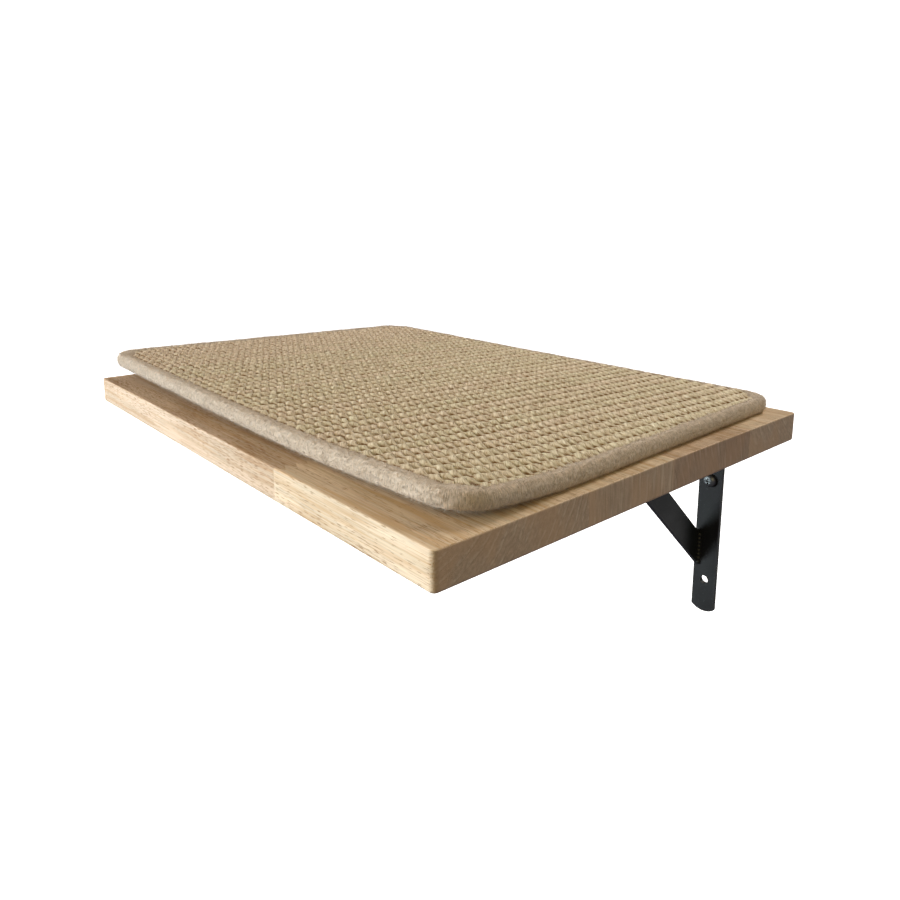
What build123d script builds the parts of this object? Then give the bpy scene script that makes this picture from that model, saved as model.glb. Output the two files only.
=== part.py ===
from build123d import *
import math
import os

os.makedirs("parts", exist_ok=True)

# A wall shelf for a cat: a glued-up wooden board on two welded brackets, with a woven mat on top.
# Millimetres. X runs along the wall, -Y out into the room and Z up.
# The origin is the middle of the board's back edge, on the wall plane, at half the board's thickness.

# Board
board_length = 400.0
board_depth = 300.0
board_thickness = 18.0
board_corner_radius = 3.0
board_top_arris = 0.8
board_bottom_arris = 1.6
finger_length = 7.0
finger_pitch = 6.0
stave_names = ("front", "second", "third", "back")
stave_width_shares = (0.305, 0.23, 0.265, 0.2)
finger_joint_shares = (0.7025, 0.33, 0.58, 0.24)

# Brackets: one strip bent to a right angle, and a brace on edge between its arms
bracket_inset = 53.0
strip_width = 17.0
strip_thickness = 3.0
strip_bend_radius = 3.0
wall_arm_length = 140.0
shelf_arm_length = 140.0
arm_end_rise = 3.0
strip_hole_radius = 3.0
near_hole_from_corner = 41.0
far_hole_from_end = 24.0
brace_width = 17.0
brace_thickness = 3.0
brace_reach = 83.0
brace_drop = 79.0

# Welds
bead_radius = 2.0
bead_pitch = 2.9
notch_radius = 1.5
outer_blend_radius = 3.0

# Machine screws and nuts in the upper holes of the wall arms
bolt_radius = 2.5
bolt_length = 10.0
bolt_head_radius = 4.75
bolt_head_height = 3.7
bolt_point_chamfer = 0.6
nut_across_flats = 8.0
nut_height = 4.7
nut_corner_chamfer = 0.5

# Screws from below into the board
screw_radius = 2.25
screw_length = 14.0
screw_head_radius = 4.25
screw_head_height = 2.8
screw_point_length = 3.5
recess_length = 4.4
recess_width = 1.0
recess_depth = 1.7
head_crown_radius_share = 0.45
head_shoulder_radius_share = 0.9
head_shoulder_height_share = 0.62

# Mat: a woven panel on a felt backing, with a plush binding rolled round both
mat_side_margin = 7.0
mat_front_margin = 8.0
mat_shift_right = -0.2
mat_shift_back = 1.4
mat_turn_degrees = 1.95
mat_corner_radius = 22.0
binding_skin = 1.6
binding_cover = 10.0
backing_thickness = 2.0
weave_thickness = 4.2
weave_stand_up = 0.9
binding_roll_radius = 3.6
lift_front_right = 0.6
lift_back_right = 0.5
lift_back_left = 7.1
lift_front_left = 13.4
front_curl_power = 1.2
back_curl_power = 1.2
curl_station_shares = (1.0, 0.85, 0.7, 0.55, 0.4, 0.25, 0.1, 0.0)

# Hook and loop pads between the mat and the board
pad_length = 50.0
pad_width = 25.0
pad_end_margin = 30.0
hook_thickness = 0.6
loop_thickness = 0.6

# Clearances, and how far a cut runs past what it cuts
hole_clearance = 0.05
pad_clearance = 0.1
backing_clearance = 0.1
weave_clearance = 0.3
overrun = 20.0

# Derived levels and places
board_top = board_thickness / 2
board_underside = -board_thickness / 2
bracket_places = {
    "left": -board_length / 2 + bracket_inset,
    "right": board_length / 2 - bracket_inset,
}
mat_length = board_length - 2 * mat_side_margin
mat_depth = board_depth - 2 * mat_front_margin
mat_thickness = 2 * binding_skin + backing_thickness + weave_thickness
mat_place = Pos(mat_shift_right, mat_shift_back - board_depth / 2, board_top)
mat_place = mat_place * Rot(0, 0, mat_turn_degrees)


def write(node, solids):
    """Writes one node as a STEP file, as one solid or as a group of separate solids."""
    shapes = list(solids)
    if len(shapes) == 1:
        shape = shapes[0]
    else:
        shape = Compound(children=shapes)
    export_step(shape, f"parts/{node}.step")


def prism(face, low, high):
    """A solid that stands on a flat face from one level to another."""
    return extrude(Pos(0, 0, low) * face, high - low)


def hole_places(arm_length):
    """How far the two holes of an arm lie from the bracket's outer corner."""
    return near_hole_from_corner, arm_length - far_hole_from_end


# Board and its blocks

def board_screw_places():
    """Where the screws from below stand, as X and Y."""
    return [
        (x, -from_corner)
        for x in bracket_places.values()
        for from_corner in hole_places(shelf_arm_length)
    ]


def whole_board():
    """The glued-up panel with its softened edges and the screw holes in its underside."""
    board = Pos(0, -board_depth / 2, 0) * Box(board_length, board_depth, board_thickness)
    board = fillet(board.edges().filter_by(Axis.Z), board_corner_radius)
    board = fillet(board.faces().sort_by(Axis.Z)[-1].edges(), board_top_arris)
    board = fillet(board.faces().sort_by(Axis.Z)[0].edges(), board_bottom_arris)
    bite = screw_length - strip_thickness
    pilot = Cylinder(
        screw_radius + hole_clearance,
        bite - screw_point_length,
        align=(Align.CENTER, Align.CENTER, Align.MIN),
    )
    point = Pos(0, 0, bite - screw_point_length) * Cone(
        screw_radius + hole_clearance,
        hole_clearance,
        screw_point_length,
        align=(Align.CENTER, Align.CENTER, Align.MIN),
    )
    for x, y in board_screw_places():
        board -= Pos(x, y, board_underside) * (pilot + point)
    return board


def finger_line(y_front, y_back, x_joint):
    """The zigzag line between two blocks of one stave, from front to back."""
    count = max(1, round((y_back - y_front) / finger_pitch))
    step = (y_back - y_front) / (2 * count)
    points = []
    for k in range(2 * count + 1):
        side = -1 if k % 2 == 0 else 1
        points.append((x_joint + side * finger_length / 2, y_front + k * step))
    return points


def block_outline(y_front, y_back, x_joint, side):
    """The plan of one block, which runs past the board's ends and its front and back edges."""
    zigzag = finger_line(y_front, y_back, x_joint)
    x_end = side * (board_length / 2 + overrun)
    points = zigzag + [(x_end, y_back), (x_end, y_front)]
    return make_face(Polyline(*points, close=True))


def write_board():
    """Cuts the panel along its glue lines and writes each block."""
    board = whole_board()
    y_front = -board_depth
    rows = zip(stave_names, stave_width_shares, finger_joint_shares)
    for name, width_share, joint_share in rows:
        y_back = y_front + width_share * board_depth
        x_joint = (joint_share - 0.5) * board_length
        for side_name, side in (("left", -1), ("right", 1)):
            outline = block_outline(y_front, y_back, x_joint, side)
            cutter = prism(outline, board_underside - overrun, board_top + overrun)
            write(f"{name}_stave_{side_name}_block", (board & cutter).solids())
        y_front = y_back


# Brackets. Their own frame has its origin on the wall plane at the board's underside.

def side_face(points):
    """A flat face in the plane across the wall, from its (y, z) points."""
    return make_face(Polyline(*[(0, y, z) for y, z in points], close=True))


def slab_along_x(face, x_low, x_high):
    """A solid that stands on such a face from one X to another."""
    return extrude(Pos(x_low, 0, 0) * face, x_high - x_low, dir=(1, 0, 0))


def arm_end_radius():
    """Radius of the bowed end of an arm, from its rise over the strip's width."""
    half = strip_width / 2
    return (half ** 2 + arm_end_rise ** 2) / (2 * arm_end_rise)


def arm_plan(length):
    """One arm seen square on: straight sides, a bowed end and the two screw holes."""
    radius = arm_end_radius()
    blank = Pos(0, -length / 2) * Rectangle(strip_width, length)
    bow = Pos(0, radius - length) * Circle(radius)
    square_part = Pos(0, -(length - radius) / 2) * Rectangle(strip_width, length - radius)
    plan = blank & (bow + square_part)
    for from_corner in hole_places(length):
        plan -= Pos(0, -from_corner) * Circle(strip_hole_radius)
    return plan


def angle_strip():
    """The flat bar bent to a right angle."""
    outer = strip_bend_radius + strip_thickness
    shelf_arm = prism(arm_plan(shelf_arm_length), -strip_thickness, 0)
    wall_arm = Rot(90, 0, 0) * prism(arm_plan(wall_arm_length), 0, strip_thickness)
    corner = Box(strip_width, outer, outer, align=(Align.CENTER, Align.MAX, Align.MAX))
    strip = shelf_arm + wall_arm - corner
    bend = Cylinder(outer, strip_width) - Cylinder(strip_bend_radius, strip_width)
    bend = Pos(0, -outer, -outer) * Rot(0, 90, 0) * bend
    return strip + (bend & corner)


def brace_cuts():
    """How long the brace's two cut ends are: down the wall arm and along the shelf arm."""
    run = math.hypot(brace_reach, brace_drop)
    return brace_width * run / brace_reach, brace_width * run / brace_drop


def brace():
    """The flat bar on edge, cut to stand against both arms at the strip's left side."""
    wall_cut, shelf_cut = brace_cuts()
    inner = -strip_thickness
    face = side_face([
        (inner, inner - brace_drop),
        (inner - brace_reach, inner),
        (inner - brace_reach - shelf_cut, inner),
        (inner, inner - brace_drop - wall_cut),
    ])
    return slab_along_x(face, -strip_width / 2, -strip_width / 2 + brace_thickness)


def corner_fill(corner, direction_a, direction_b, radius):
    """Weld metal in a corner between two straight edges, hollowed to a radius."""
    a = Vector(0, *direction_a).normalized()
    b = Vector(0, *direction_b).normalized()
    point = Vector(0, *corner)
    half_angle = math.radians(a.get_angle(b)) / 2
    bisector = (a + b).normalized()
    reach = radius / math.tan(half_angle)
    middle = point + bisector * (radius / math.sin(half_angle) - radius)
    outline = [
        Line(point, point + a * reach),
        ThreePointArc(point + a * reach, middle, point + b * reach),
        Line(point + b * reach, point),
    ]
    face = make_face(outline)
    return slab_along_x(face, -strip_width / 2, -strip_width / 2 + brace_thickness)


def bead_run(start, end):
    """A row of overlapping weld drops in the corner between the brace's side and an arm."""
    start_point = Vector(-strip_width / 2 + brace_thickness, *start)
    end_point = Vector(-strip_width / 2 + brace_thickness, *end)
    along = end_point - start_point
    count = max(2, round(along.length / bead_pitch))
    drops = [
        Pos(start_point + along * ((k + 0.5) / count)) * Sphere(bead_radius)
        for k in range(count)
    ]
    run = drops[0].fuse(*drops[1:])
    room = Box(
        bead_radius + overrun,
        shelf_arm_length,
        wall_arm_length,
        align=(Align.MIN, Align.MAX, Align.MAX),
    )
    room = Pos(start_point.X, -strip_thickness, -strip_thickness) * room
    return run & room


def welds():
    """The weld metal at both ends of the brace."""
    wall_cut, shelf_cut = brace_cuts()
    inner = -strip_thickness
    wall_upper = (inner, inner - brace_drop)
    wall_lower = (inner, inner - brace_drop - wall_cut)
    shelf_inner = (inner - brace_reach, inner)
    shelf_outer = (inner - brace_reach - shelf_cut, inner)
    up_the_brace = (-brace_reach, brace_drop)
    down_the_brace = (brace_reach, -brace_drop)
    fills = [
        corner_fill(wall_upper, (0, 1), up_the_brace, notch_radius),
        corner_fill(wall_lower, (0, -1), up_the_brace, outer_blend_radius),
        corner_fill(shelf_inner, (1, 0), down_the_brace, notch_radius),
        corner_fill(shelf_outer, (-1, 0), down_the_brace, outer_blend_radius),
    ]
    runs = [bead_run(wall_upper, wall_lower), bead_run(shelf_inner, shelf_outer)]
    return [solid for shape in fills + runs for solid in shape.solids()]


def pan_head(radius, height):
    """A domed screw head standing on Z zero, with a cross recess in its top."""
    crown = radius * head_crown_radius_share
    shoulder = (radius * head_shoulder_radius_share, 0, height * head_shoulder_height_share)
    profile = make_face([
        Line((0, 0, 0), (radius, 0, 0)),
        Spline((radius, 0, 0), shoulder, (crown, 0, height)),
        Line((crown, 0, height), (0, 0, height)),
        Line((0, 0, height), (0, 0, 0)),
    ])
    head = revolve(profile, Axis.Z)
    for angle in (0, 90):
        slot = Rot(0, 0, angle) * Box(recess_length, recess_width, 2 * recess_depth)
        head -= Pos(0, 0, height) * slot
    return head


def machine_screw():
    """Pan head and shank, its head's seat at Z zero and its shank below."""
    shank = Pos(0, 0, -bolt_length / 2) * Cylinder(bolt_radius, bolt_length)
    shank = chamfer(shank.edges().sort_by(Axis.Z)[0], bolt_point_chamfer)
    return pan_head(bolt_head_radius, bolt_head_height) + shank


def board_screw():
    """Pan head, shank and point, its head's seat at Z zero and its point below."""
    straight = screw_length - screw_point_length
    shank = Pos(0, 0, -straight / 2) * Cylinder(screw_radius, straight)
    point = Pos(0, 0, -straight) * Rot(180, 0, 0) * Cone(
        screw_radius, 0, screw_point_length, align=(Align.CENTER, Align.CENTER, Align.MIN)
    )
    return pan_head(screw_head_radius, screw_head_height) + shank + point


def nut():
    """A hexagon nut on Z zero, its outer corners eased and its bore a running fit on the screw."""
    across_corners = nut_across_flats / math.cos(math.pi / 6)
    body = extrude(RegularPolygon(across_corners / 2, 6), nut_height)
    turned = Pos(0, 0, nut_height / 2) * Cylinder(across_corners / 2, nut_height)
    body &= chamfer(turned.edges().filter_by(GeomType.CIRCLE), nut_corner_chamfer)
    return body - Pos(0, 0, nut_height / 2) * Cylinder(bolt_radius + hole_clearance, nut_height)


def write_brackets():
    """Writes each bracket's pieces and its fasteners."""
    for side, x in bracket_places.items():
        place = Pos(x, 0, board_underside)
        write(f"{side}_angle_strip", (place * angle_strip()).solids())
        write(f"{side}_brace", (place * brace()).solids())
        write(f"{side}_brace_welds", [place * solid for solid in welds()])
        screw_seat = place * Pos(0, -strip_thickness, -near_hole_from_corner) * Rot(90, 0, 0)
        write(f"{side}_wall_arm_screw", (screw_seat * machine_screw()).solids())
        nut_seat = place * Pos(0, 0, -near_hole_from_corner) * Rot(-90, 0, 0)
        write(f"{side}_wall_arm_nut", (nut_seat * nut()).solids())
        seats = [
            place * Pos(0, -from_corner, -strip_thickness) * Rot(180, 0, 0)
            for from_corner in hole_places(shelf_arm_length)
        ]
        write(f"{side}_board_screws", [seat * board_screw().solid() for seat in seats])


# Mat. Its own frame has its origin in the middle of the mat, on the board's top.

def underside_height(length_share, depth_share):
    """How high the mat's underside lies, at shares of its length (right to left) and its depth."""
    front_rise = (lift_front_left - lift_front_right) * length_share ** front_curl_power
    back_rise = (lift_back_left - lift_back_right) * length_share ** back_curl_power
    front = lift_front_right + front_rise
    back = lift_back_right + back_rise
    return front + (back - front) * depth_share


def profile_face(y, low, high):
    """A cross-section of one layer of the curled mat, in the plane at y, past both ends."""
    depth_share = y / mat_depth + 0.5
    beyond = overrun / mat_length
    rest = [
        (mat_length * (0.5 - share), underside_height(max(share, 0), depth_share))
        for share in (1 + beyond, *curl_station_shares, -beyond)
    ]
    lower = [(x, y, z + low) for x, z in rest]
    upper = [(x, y, z + high) for x, z in reversed(rest)]
    return make_face([
        Spline(*lower),
        Line(lower[-1], upper[0]),
        Spline(*upper),
        Line(upper[-1], lower[0]),
    ])


def layer(low, high):
    """One layer of the curled mat between two heights above its underside, past its outline."""
    y = mat_depth / 2 + overrun
    return loft([profile_face(-y, low, high), profile_face(y, low, high)], ruled=True)


def outline_prism(inset):
    """A tall prism on the mat's outline, set in by a distance."""
    plan = RectangleRounded(
        mat_length - 2 * inset, mat_depth - 2 * inset, mat_corner_radius - inset
    )
    top = mat_thickness + max(lift_front_left, lift_back_left) + overrun
    return prism(plan, -overrun, top)


def rolled_slab():
    """The whole mat as one curled slab with its outer edges rounded over."""
    slab = layer(0, mat_thickness) & outline_prism(0)
    return fillet(slab.faces().filter_by(GeomType.BSPLINE).edges(), binding_roll_radius)


def pad_places():
    """Where the four pairs of pads lie under the mat."""
    x = mat_length / 2 - pad_end_margin - pad_length / 2
    y = mat_depth / 2 - pad_end_margin - pad_width / 2
    return [(side_x * x, side_y * y) for side_x in (-1, 1) for side_y in (-1, 1)]


def write_mat():
    """Writes the mat's pieces and the pads under it."""
    core_top = mat_thickness - binding_skin
    core = outline_prism(binding_skin)
    backing_top = binding_skin + backing_thickness
    backing = layer(binding_skin, backing_top - backing_clearance) & core
    weave = layer(backing_top, core_top) & core
    raised = layer(core_top, core_top + weave_stand_up)
    weave += raised & outline_prism(binding_cover + weave_clearance)
    binding = rolled_slab() - (layer(binding_skin, core_top) & core) - outline_prism(binding_cover)
    write("sisal_weave", (mat_place * weave).solids())
    write("felt_backing", (mat_place * backing).solids())
    write("plush_binding", (mat_place * binding).solids())
    loop_top = binding_skin - pad_clearance
    under = layer(loop_top - loop_thickness, loop_top)
    loops = []
    hooks = []
    for x, y in pad_places():
        plan = Pos(x, y) * Rectangle(pad_length, pad_width)
        loops += (under & prism(plan, -overrun, mat_thickness + lift_front_left)).solids()
        hooks += prism(plan, 0, hook_thickness).solids()
    write("mat_loop_pads", [mat_place * solid for solid in loops])
    write("board_hook_pads", [mat_place * solid for solid in hooks])


write_board()
write_brackets()
write_mat()
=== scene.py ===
import math

import bpy
import numpy as np
from bpy.props import FloatProperty, FloatVectorProperty, IntProperty, PointerProperty
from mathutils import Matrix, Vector


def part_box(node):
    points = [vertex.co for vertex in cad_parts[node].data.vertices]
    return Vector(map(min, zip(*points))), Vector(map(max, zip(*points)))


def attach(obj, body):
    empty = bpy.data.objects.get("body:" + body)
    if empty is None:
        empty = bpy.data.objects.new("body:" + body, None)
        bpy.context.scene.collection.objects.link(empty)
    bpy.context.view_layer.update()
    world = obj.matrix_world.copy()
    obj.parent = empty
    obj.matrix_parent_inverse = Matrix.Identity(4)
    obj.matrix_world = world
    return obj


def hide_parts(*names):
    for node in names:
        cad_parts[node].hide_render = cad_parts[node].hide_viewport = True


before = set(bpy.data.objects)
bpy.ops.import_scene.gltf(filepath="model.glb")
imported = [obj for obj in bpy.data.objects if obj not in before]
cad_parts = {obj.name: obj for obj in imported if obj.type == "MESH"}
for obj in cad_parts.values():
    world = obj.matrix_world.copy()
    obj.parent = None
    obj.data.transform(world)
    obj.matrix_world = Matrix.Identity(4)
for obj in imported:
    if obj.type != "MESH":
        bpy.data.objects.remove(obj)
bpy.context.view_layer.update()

bl_info = {
    "name": "Cat wall shelf",
    "version": (1, 0, 0),
    "blender": (4, 5, 0),
    "location": "View3D > Sidebar > Cat shelf",
    "description": "Dresses a wooden wall shelf with a woven sisal mat edged in plush",
    "category": "Object",
}

# Metres in a millimetre, and how high the board's top lies
MM = 0.001
board_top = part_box("front_stave_left_block")[1].z

# Corners round a yarn, a warp thread and a loose fibre
yarn_ring, warp_ring, fibre_ring = 16, 6, 4

# Room for the lumps of a yarn, and the number of the lump at its middle
lump_room, middle_lump = 100, 40


# Settings

def length(name, description, default):
    """A length setting in metres."""
    return FloatProperty(
        name=name, description=description, default=default, unit="LENGTH", precision=5
    )


def amount(name, description, default):
    """A plain number setting."""
    return FloatProperty(name=name, description=description, default=default, precision=4)


def colour(name, description, default):
    """A colour setting."""
    return FloatVectorProperty(
        name=name, description=description, default=default, subtype="COLOR", min=0, max=1
    )


class CatShelfMatSizes(bpy.types.PropertyGroup):
    """Sizes of the mat and where it lies."""

    length: length("Length", "Mat's length, left to right", 0.386)
    depth: length("Depth", "Mat's depth, front to back", 0.284)
    corner: length("Corner radius", "Radius of the mat's corners", 0.022)
    middle_x: length("Middle, right", "Middle of the mat, along the wall", -0.0002)
    middle_y: length("Middle, back", "Middle of the mat, from the wall", -0.1486)
    turn: FloatProperty(
        name="Turn", description="How far the mat is turned on the board",
        default=math.radians(1.95), subtype="ANGLE",
    )
    lift_front_right: length("Front right lift", "Gap under the front right corner", 0.0006)
    lift_front_left: length("Front left lift", "Gap under the front left corner", 0.0134)
    lift_back_right: length("Back right lift", "Gap under the back right corner", 0.0005)
    lift_back_left: length("Back left lift", "Gap under the back left corner", 0.0071)
    front_power: amount("Front curl", "How late the front edge starts to curl", 1.2)
    back_power: amount("Back curl", "How late the back edge starts to curl", 1.2)
    near_rise: length("Near corner rise", "How far the front right corner curls up", 0.0049)
    near_along: length("Near corner, along", "Reach of that curl along the front", 0.058)
    near_back: length("Near corner, back", "Reach of that curl from the front", 0.030)


class CatShelfClothSizes(bpy.types.PropertyGroup):
    """Sizes of the mat's weave, binding, backing and pads."""

    cover_front: length("Front cover", "How far the binding reaches in at the front", 0.010)
    cover_right: length("Right cover", "How far the binding reaches in at the right", 0.0075)
    cover_back: length("Back cover", "How far the binding reaches in at the back", 0.0068)
    cover_left: length("Left cover", "How far the binding reaches in at the left", 0.0085)
    cover_corner: length("Corner cover", "How much further it reaches in the corners", 0.0045)
    skin: length("Binding skin", "Thickness of the binding's cloth", 0.0016)
    height: length("Mat height", "Thickness of the bound mat", 0.0094)
    backing: length("Backing", "Thickness of the felt backing", 0.002)
    row: length("Row pitch", "Distance between two rows of lumps", 0.00955)
    yarn: length("Yarn pitch", "Distance between two yarns", 0.00515)
    lean: amount("Row lean", "How far the rows lean, as a slope", 0.09)
    pad_length: length("Pad length", "Length of a hook or loop pad", 0.050)
    pad_width: length("Pad width", "Width of a hook or loop pad", 0.025)
    pad_margin: length("Pad margin", "From the mat's edges to a pad", 0.030)
    pad_thickness: length("Pad thickness", "Thickness of a hook or loop pad", 0.0006)
    seed: IntProperty(name="Seed", description="Start of the random draws", default=11)


class CatShelfColours(bpy.types.PropertyGroup):
    """Colours of the finishes."""

    pale_wood: colour("Pale wood", "Light bands of the pale blocks", (0.675, 0.525, 0.357))
    pink_wood: colour("Pink wood", "Light bands of the pinker blocks", (0.57, 0.42, 0.281))
    pore: colour("Pores", "Open pores of the wood", (0.31, 0.155, 0.065))
    black: colour("Black paint", "Paint of the brackets", (0.006, 0.007, 0.007))
    zinc: colour("Zinc", "Plating of the screws and nuts", (0.23, 0.23, 0.215))
    sisal: colour("Sisal", "Yarn of the weave", (0.67, 0.58, 0.41))
    # Partly the ground cloth's own brown, partly painted shade for the holes between the yarns
    sisal_ground_and_shade: colour("Sisal, deep", "Ground cloth under the yarns", (0.17, 0.09, 0.04))
    plush: colour("Plush", "Pile of the binding", (0.60, 0.475, 0.36))
    felt: colour("Felt", "Backing felt", (0.20, 0.165, 0.13))
    tape: colour("Tape", "Hook and loop pads", (0.02, 0.02, 0.02))
    floor: colour("Floor", "Studio floor", (0.90, 0.90, 0.90))


class CatShelfStudio(bpy.types.PropertyGroup):
    """Camera and lights."""

    camera_x: length("Camera right", "Camera's place along the wall", 0.390771)
    camera_y: length("Camera back", "Camera's place from the wall", -0.458674)
    camera_z: length("Camera up", "Camera's height over the board's middle", 0.127703)
    azimuth: FloatProperty(
        name="Azimuth", description="Which way the camera looks, from +Y to -X",
        default=math.radians(48.8227), subtype="ANGLE",
    )
    tilt: FloatProperty(
        name="Tilt", description="How far the camera looks down",
        default=math.radians(10.381), subtype="ANGLE",
    )
    lens: amount("Lens", "Focal length in millimetres", 28.978)
    shift_y: amount("Shift", "Vertical shift of the picture, as a share", -0.1056)
    key: amount("Key light", "Power of the low light at the front left in watts", 73.0)
    key_tint: colour("Key tint", "Colour of the low light at the front left", (0.74, 0.89, 1.0))
    front: amount("Front light", "Power of the raised light at the front left in watts", 22.0)
    front_tint: colour("Front tint", "Colour of the raised light", (1.0, 0.83, 0.68))
    side: amount("Side light", "Power of the light at the front right in watts", 13.0)
    side_tint: colour("Side tint", "Colour of the light at the front right", (1.0, 0.88, 0.45))
    back: amount("Back light", "Power of the light over the back in watts", 27.0)
    back_tint: colour("Back tint", "Colour of the light over the back", (1.0, 0.965, 0.9))
    low: amount("Low light", "Power of the low light behind on the right in watts", 4.0)
    low_tint: colour("Low tint", "Colour of the low light behind", (0.95, 1.0, 1.0))
    sky: amount("Sky", "Strength of the light from all round", 0.12)
    sky_tint: colour("Sky tint", "Colour of the light from all round", (0.85, 0.8, 1.0))
    glow: colour("Floor glow", "The floor's own light", (1.0, 1.0, 1.0))
    floor_z: length("Floor", "Height of the floor", -0.24)


# Shaders

class Wire:
    """An output of a shader node. A sum on it adds Math nodes."""

    def __init__(self, shader, socket):
        self.shader = shader
        self.socket = socket

    def calculate(self, operation, *values):
        return self.shader.node("Math", {"operation": operation}, dict(enumerate(values)))

    def __add__(self, other):
        return self.calculate("ADD", self, other)

    def __radd__(self, other):
        return self.calculate("ADD", other, self)

    def __sub__(self, other):
        return self.calculate("SUBTRACT", self, other)

    def __rsub__(self, other):
        return self.calculate("SUBTRACT", other, self)

    def __mul__(self, other):
        return self.calculate("MULTIPLY", self, other)

    def __rmul__(self, other):
        return self.calculate("MULTIPLY", other, self)

    def __truediv__(self, other):
        return self.calculate("DIVIDE", self, other)

    def __pow__(self, other):
        return self.calculate("POWER", self, other)


class Shader:
    """A material in the making: its node tree with one Principled node at the end."""

    def __init__(self, name, constants):
        self.material = bpy.data.materials.new(name)
        self.material.use_nodes = True
        self.tree = self.material.node_tree
        self.tree.nodes.clear()
        output = self.tree.nodes.new("ShaderNodeOutputMaterial")
        self.skin = self.tree.nodes.new("ShaderNodeBsdfPrincipled")
        self.tree.links.new(self.skin.outputs[0], output.inputs["Surface"])
        for socket, value in constants.items():
            self.put(self.skin.inputs[socket], value)

    def put(self, socket, value):
        """Links a wire to a socket, or sets the socket's own value."""
        if isinstance(value, Wire):
            self.tree.links.new(value.socket, socket)
        else:
            socket.default_value = value

    def node(self, kind, settings=None, inputs=None, output=0):
        """Adds a node: its settings first, then its sockets. Returns one output."""
        node = self.tree.nodes.new("ShaderNode" + kind)
        for name, value in (settings or {}).items():
            setattr(node, name, value)
        for name, value in (inputs or {}).items():
            self.put(node.inputs[name], value)
        return Wire(self, node.outputs[output])

    def place(self, output="Object"):
        """Where a point of the piece is, in metres in the shared frame."""
        return self.node("TexCoord", output=output)

    def scaled(self, vector, scale):
        """A vector times a scale for each axis."""
        return self.node("VectorMath", {"operation": "MULTIPLY"}, {0: vector, 1: scale})

    def moved(self, vector, step):
        """A vector plus another."""
        return self.node("VectorMath", {"operation": "ADD"}, {0: vector, 1: step})

    def axes(self, vector):
        """The three parts of a vector."""
        node = self.tree.nodes.new("ShaderNodeSeparateXYZ")
        self.put(node.inputs[0], vector)
        return [Wire(self, socket) for socket in node.outputs]

    def noise(self, vector, scale=1.0, detail=2.0, roughness=0.5):
        """Cloudy noise from 0 to 1. The scale is one number, or one for each axis."""
        if isinstance(scale, tuple):
            vector, scale = self.scaled(vector, scale), 1.0
        inputs = {"Vector": vector, "Scale": scale, "Detail": detail, "Roughness": roughness}
        return self.node("TexNoise", None, inputs)

    def ramp(self, value, low, high):
        """A smooth rise from 0 at low to 1 at high."""
        inputs = {"Value": value, "From Min": low, "From Max": high}
        return self.node("MapRange", {"interpolation_type": "SMOOTHSTEP"}, inputs)

    def blend(self, factor, first, second):
        """Mixes two colours."""
        return self.node("Mix", {"data_type": "RGBA"}, {0: factor, 6: first, 7: second}, output=2)

    def finish(self, base, rough, height, distance):
        """Joins colour, roughness and bump to the Principled node."""
        self.put(self.skin.inputs["Base Color"], base)
        self.put(self.skin.inputs["Roughness"], rough)
        inputs = {"Strength": 1.0, "Distance": distance, "Height": height}
        self.put(self.skin.inputs["Normal"], self.node("Bump", None, inputs))
        return self.material


def rgba(shade, gain=1.0):
    """A colour with four parts, made lighter or darker."""
    return tuple(min(1.0, part * gain) for part in shade) + (1.0,)


def tinted(shade, gains):
    """A colour with a gain on each of its three parts."""
    return tuple(part * gain for part, gain in zip(shade, gains))


def sawn_faces(shader, at, light, late, broad, fine):
    """Colour of a block's long faces: late wood, warm streaks, bright bands and fine dark lines."""
    streak = shader.noise(at, (0.011, 0.34, 0.34), 3.0, 0.6)
    line = shader.noise(at, (0.018, 1.5, 1.5), 1.0)
    warm = rgba(tinted(light, (0.82, 0.66, 0.48)))
    bright = rgba(tinted(light, (1.3, 1.31, 1.38)))
    base = shader.blend(late * 0.4, rgba(light, 1.06), rgba(light, 0.84))
    base = shader.blend(shader.ramp(streak, 0.44, 0.6) * 0.85, base, warm)
    base = shader.blend(shader.ramp(broad, 0.45, 0.6) * 0.65, base, bright)
    base = shader.blend(shader.ramp(line, 0.52, 0.64) * 0.6, base, warm)
    return shader.blend(shader.ramp(fine, 0.4, 0.7) * 0.5, base, rgba(light, 0.64))


def end_grain(shader, at, light, polar, phase, late, broad, crowd):
    """Colour of a block's sawn ends: rays, late wood, thin pale lines and dark ring edges."""
    band = shader.noise(polar, detail=3.0, roughness=0.7)
    ray = shader.noise(at, (0.4, 0.9, 0.9), 4.0, 0.7)
    patch = shader.noise(at, (0.01, 0.045, 0.03), 1.0)
    dull = tinted(light, (0.75, 0.70, 0.73))
    pale = tinted(dull, (1.25, 1.35, 1.45))
    hued = tinted(dull, (1.04, 0.90, 0.74))
    cut = shader.blend(shader.ramp(band, 0.3, 0.7), rgba(dull, 0.78), rgba(dull, 1.08))
    cut = shader.blend(shader.ramp(ray, 0.35, 0.7) * 0.4, cut, rgba(dull, 0.66))
    cut = shader.blend(late * shader.ramp(broad, 0.3, 0.6) * 0.45, cut, rgba(dull, 0.66))
    thin = shader.ramp(phase, 0.5, 0.78) * (1 - shader.ramp(phase, 0.78, 0.97))
    thin = thin * shader.ramp(band, 0.3, 0.6) * shader.ramp(broad, 0.40, 0.53)
    cut = shader.blend(thin * 0.7, cut, rgba(pale))
    edge = shader.ramp(phase, 0.93, 0.98) * (1 - shader.ramp(phase, 0.985, 1.0))
    cut = shader.blend(edge * shader.ramp(crowd, 0.45, 0.55) * 0.6, cut, rgba(dull, 0.5))
    return shader.blend(shader.ramp(patch, 0.42, 0.6) * 0.4, cut, rgba(hued))


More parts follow.
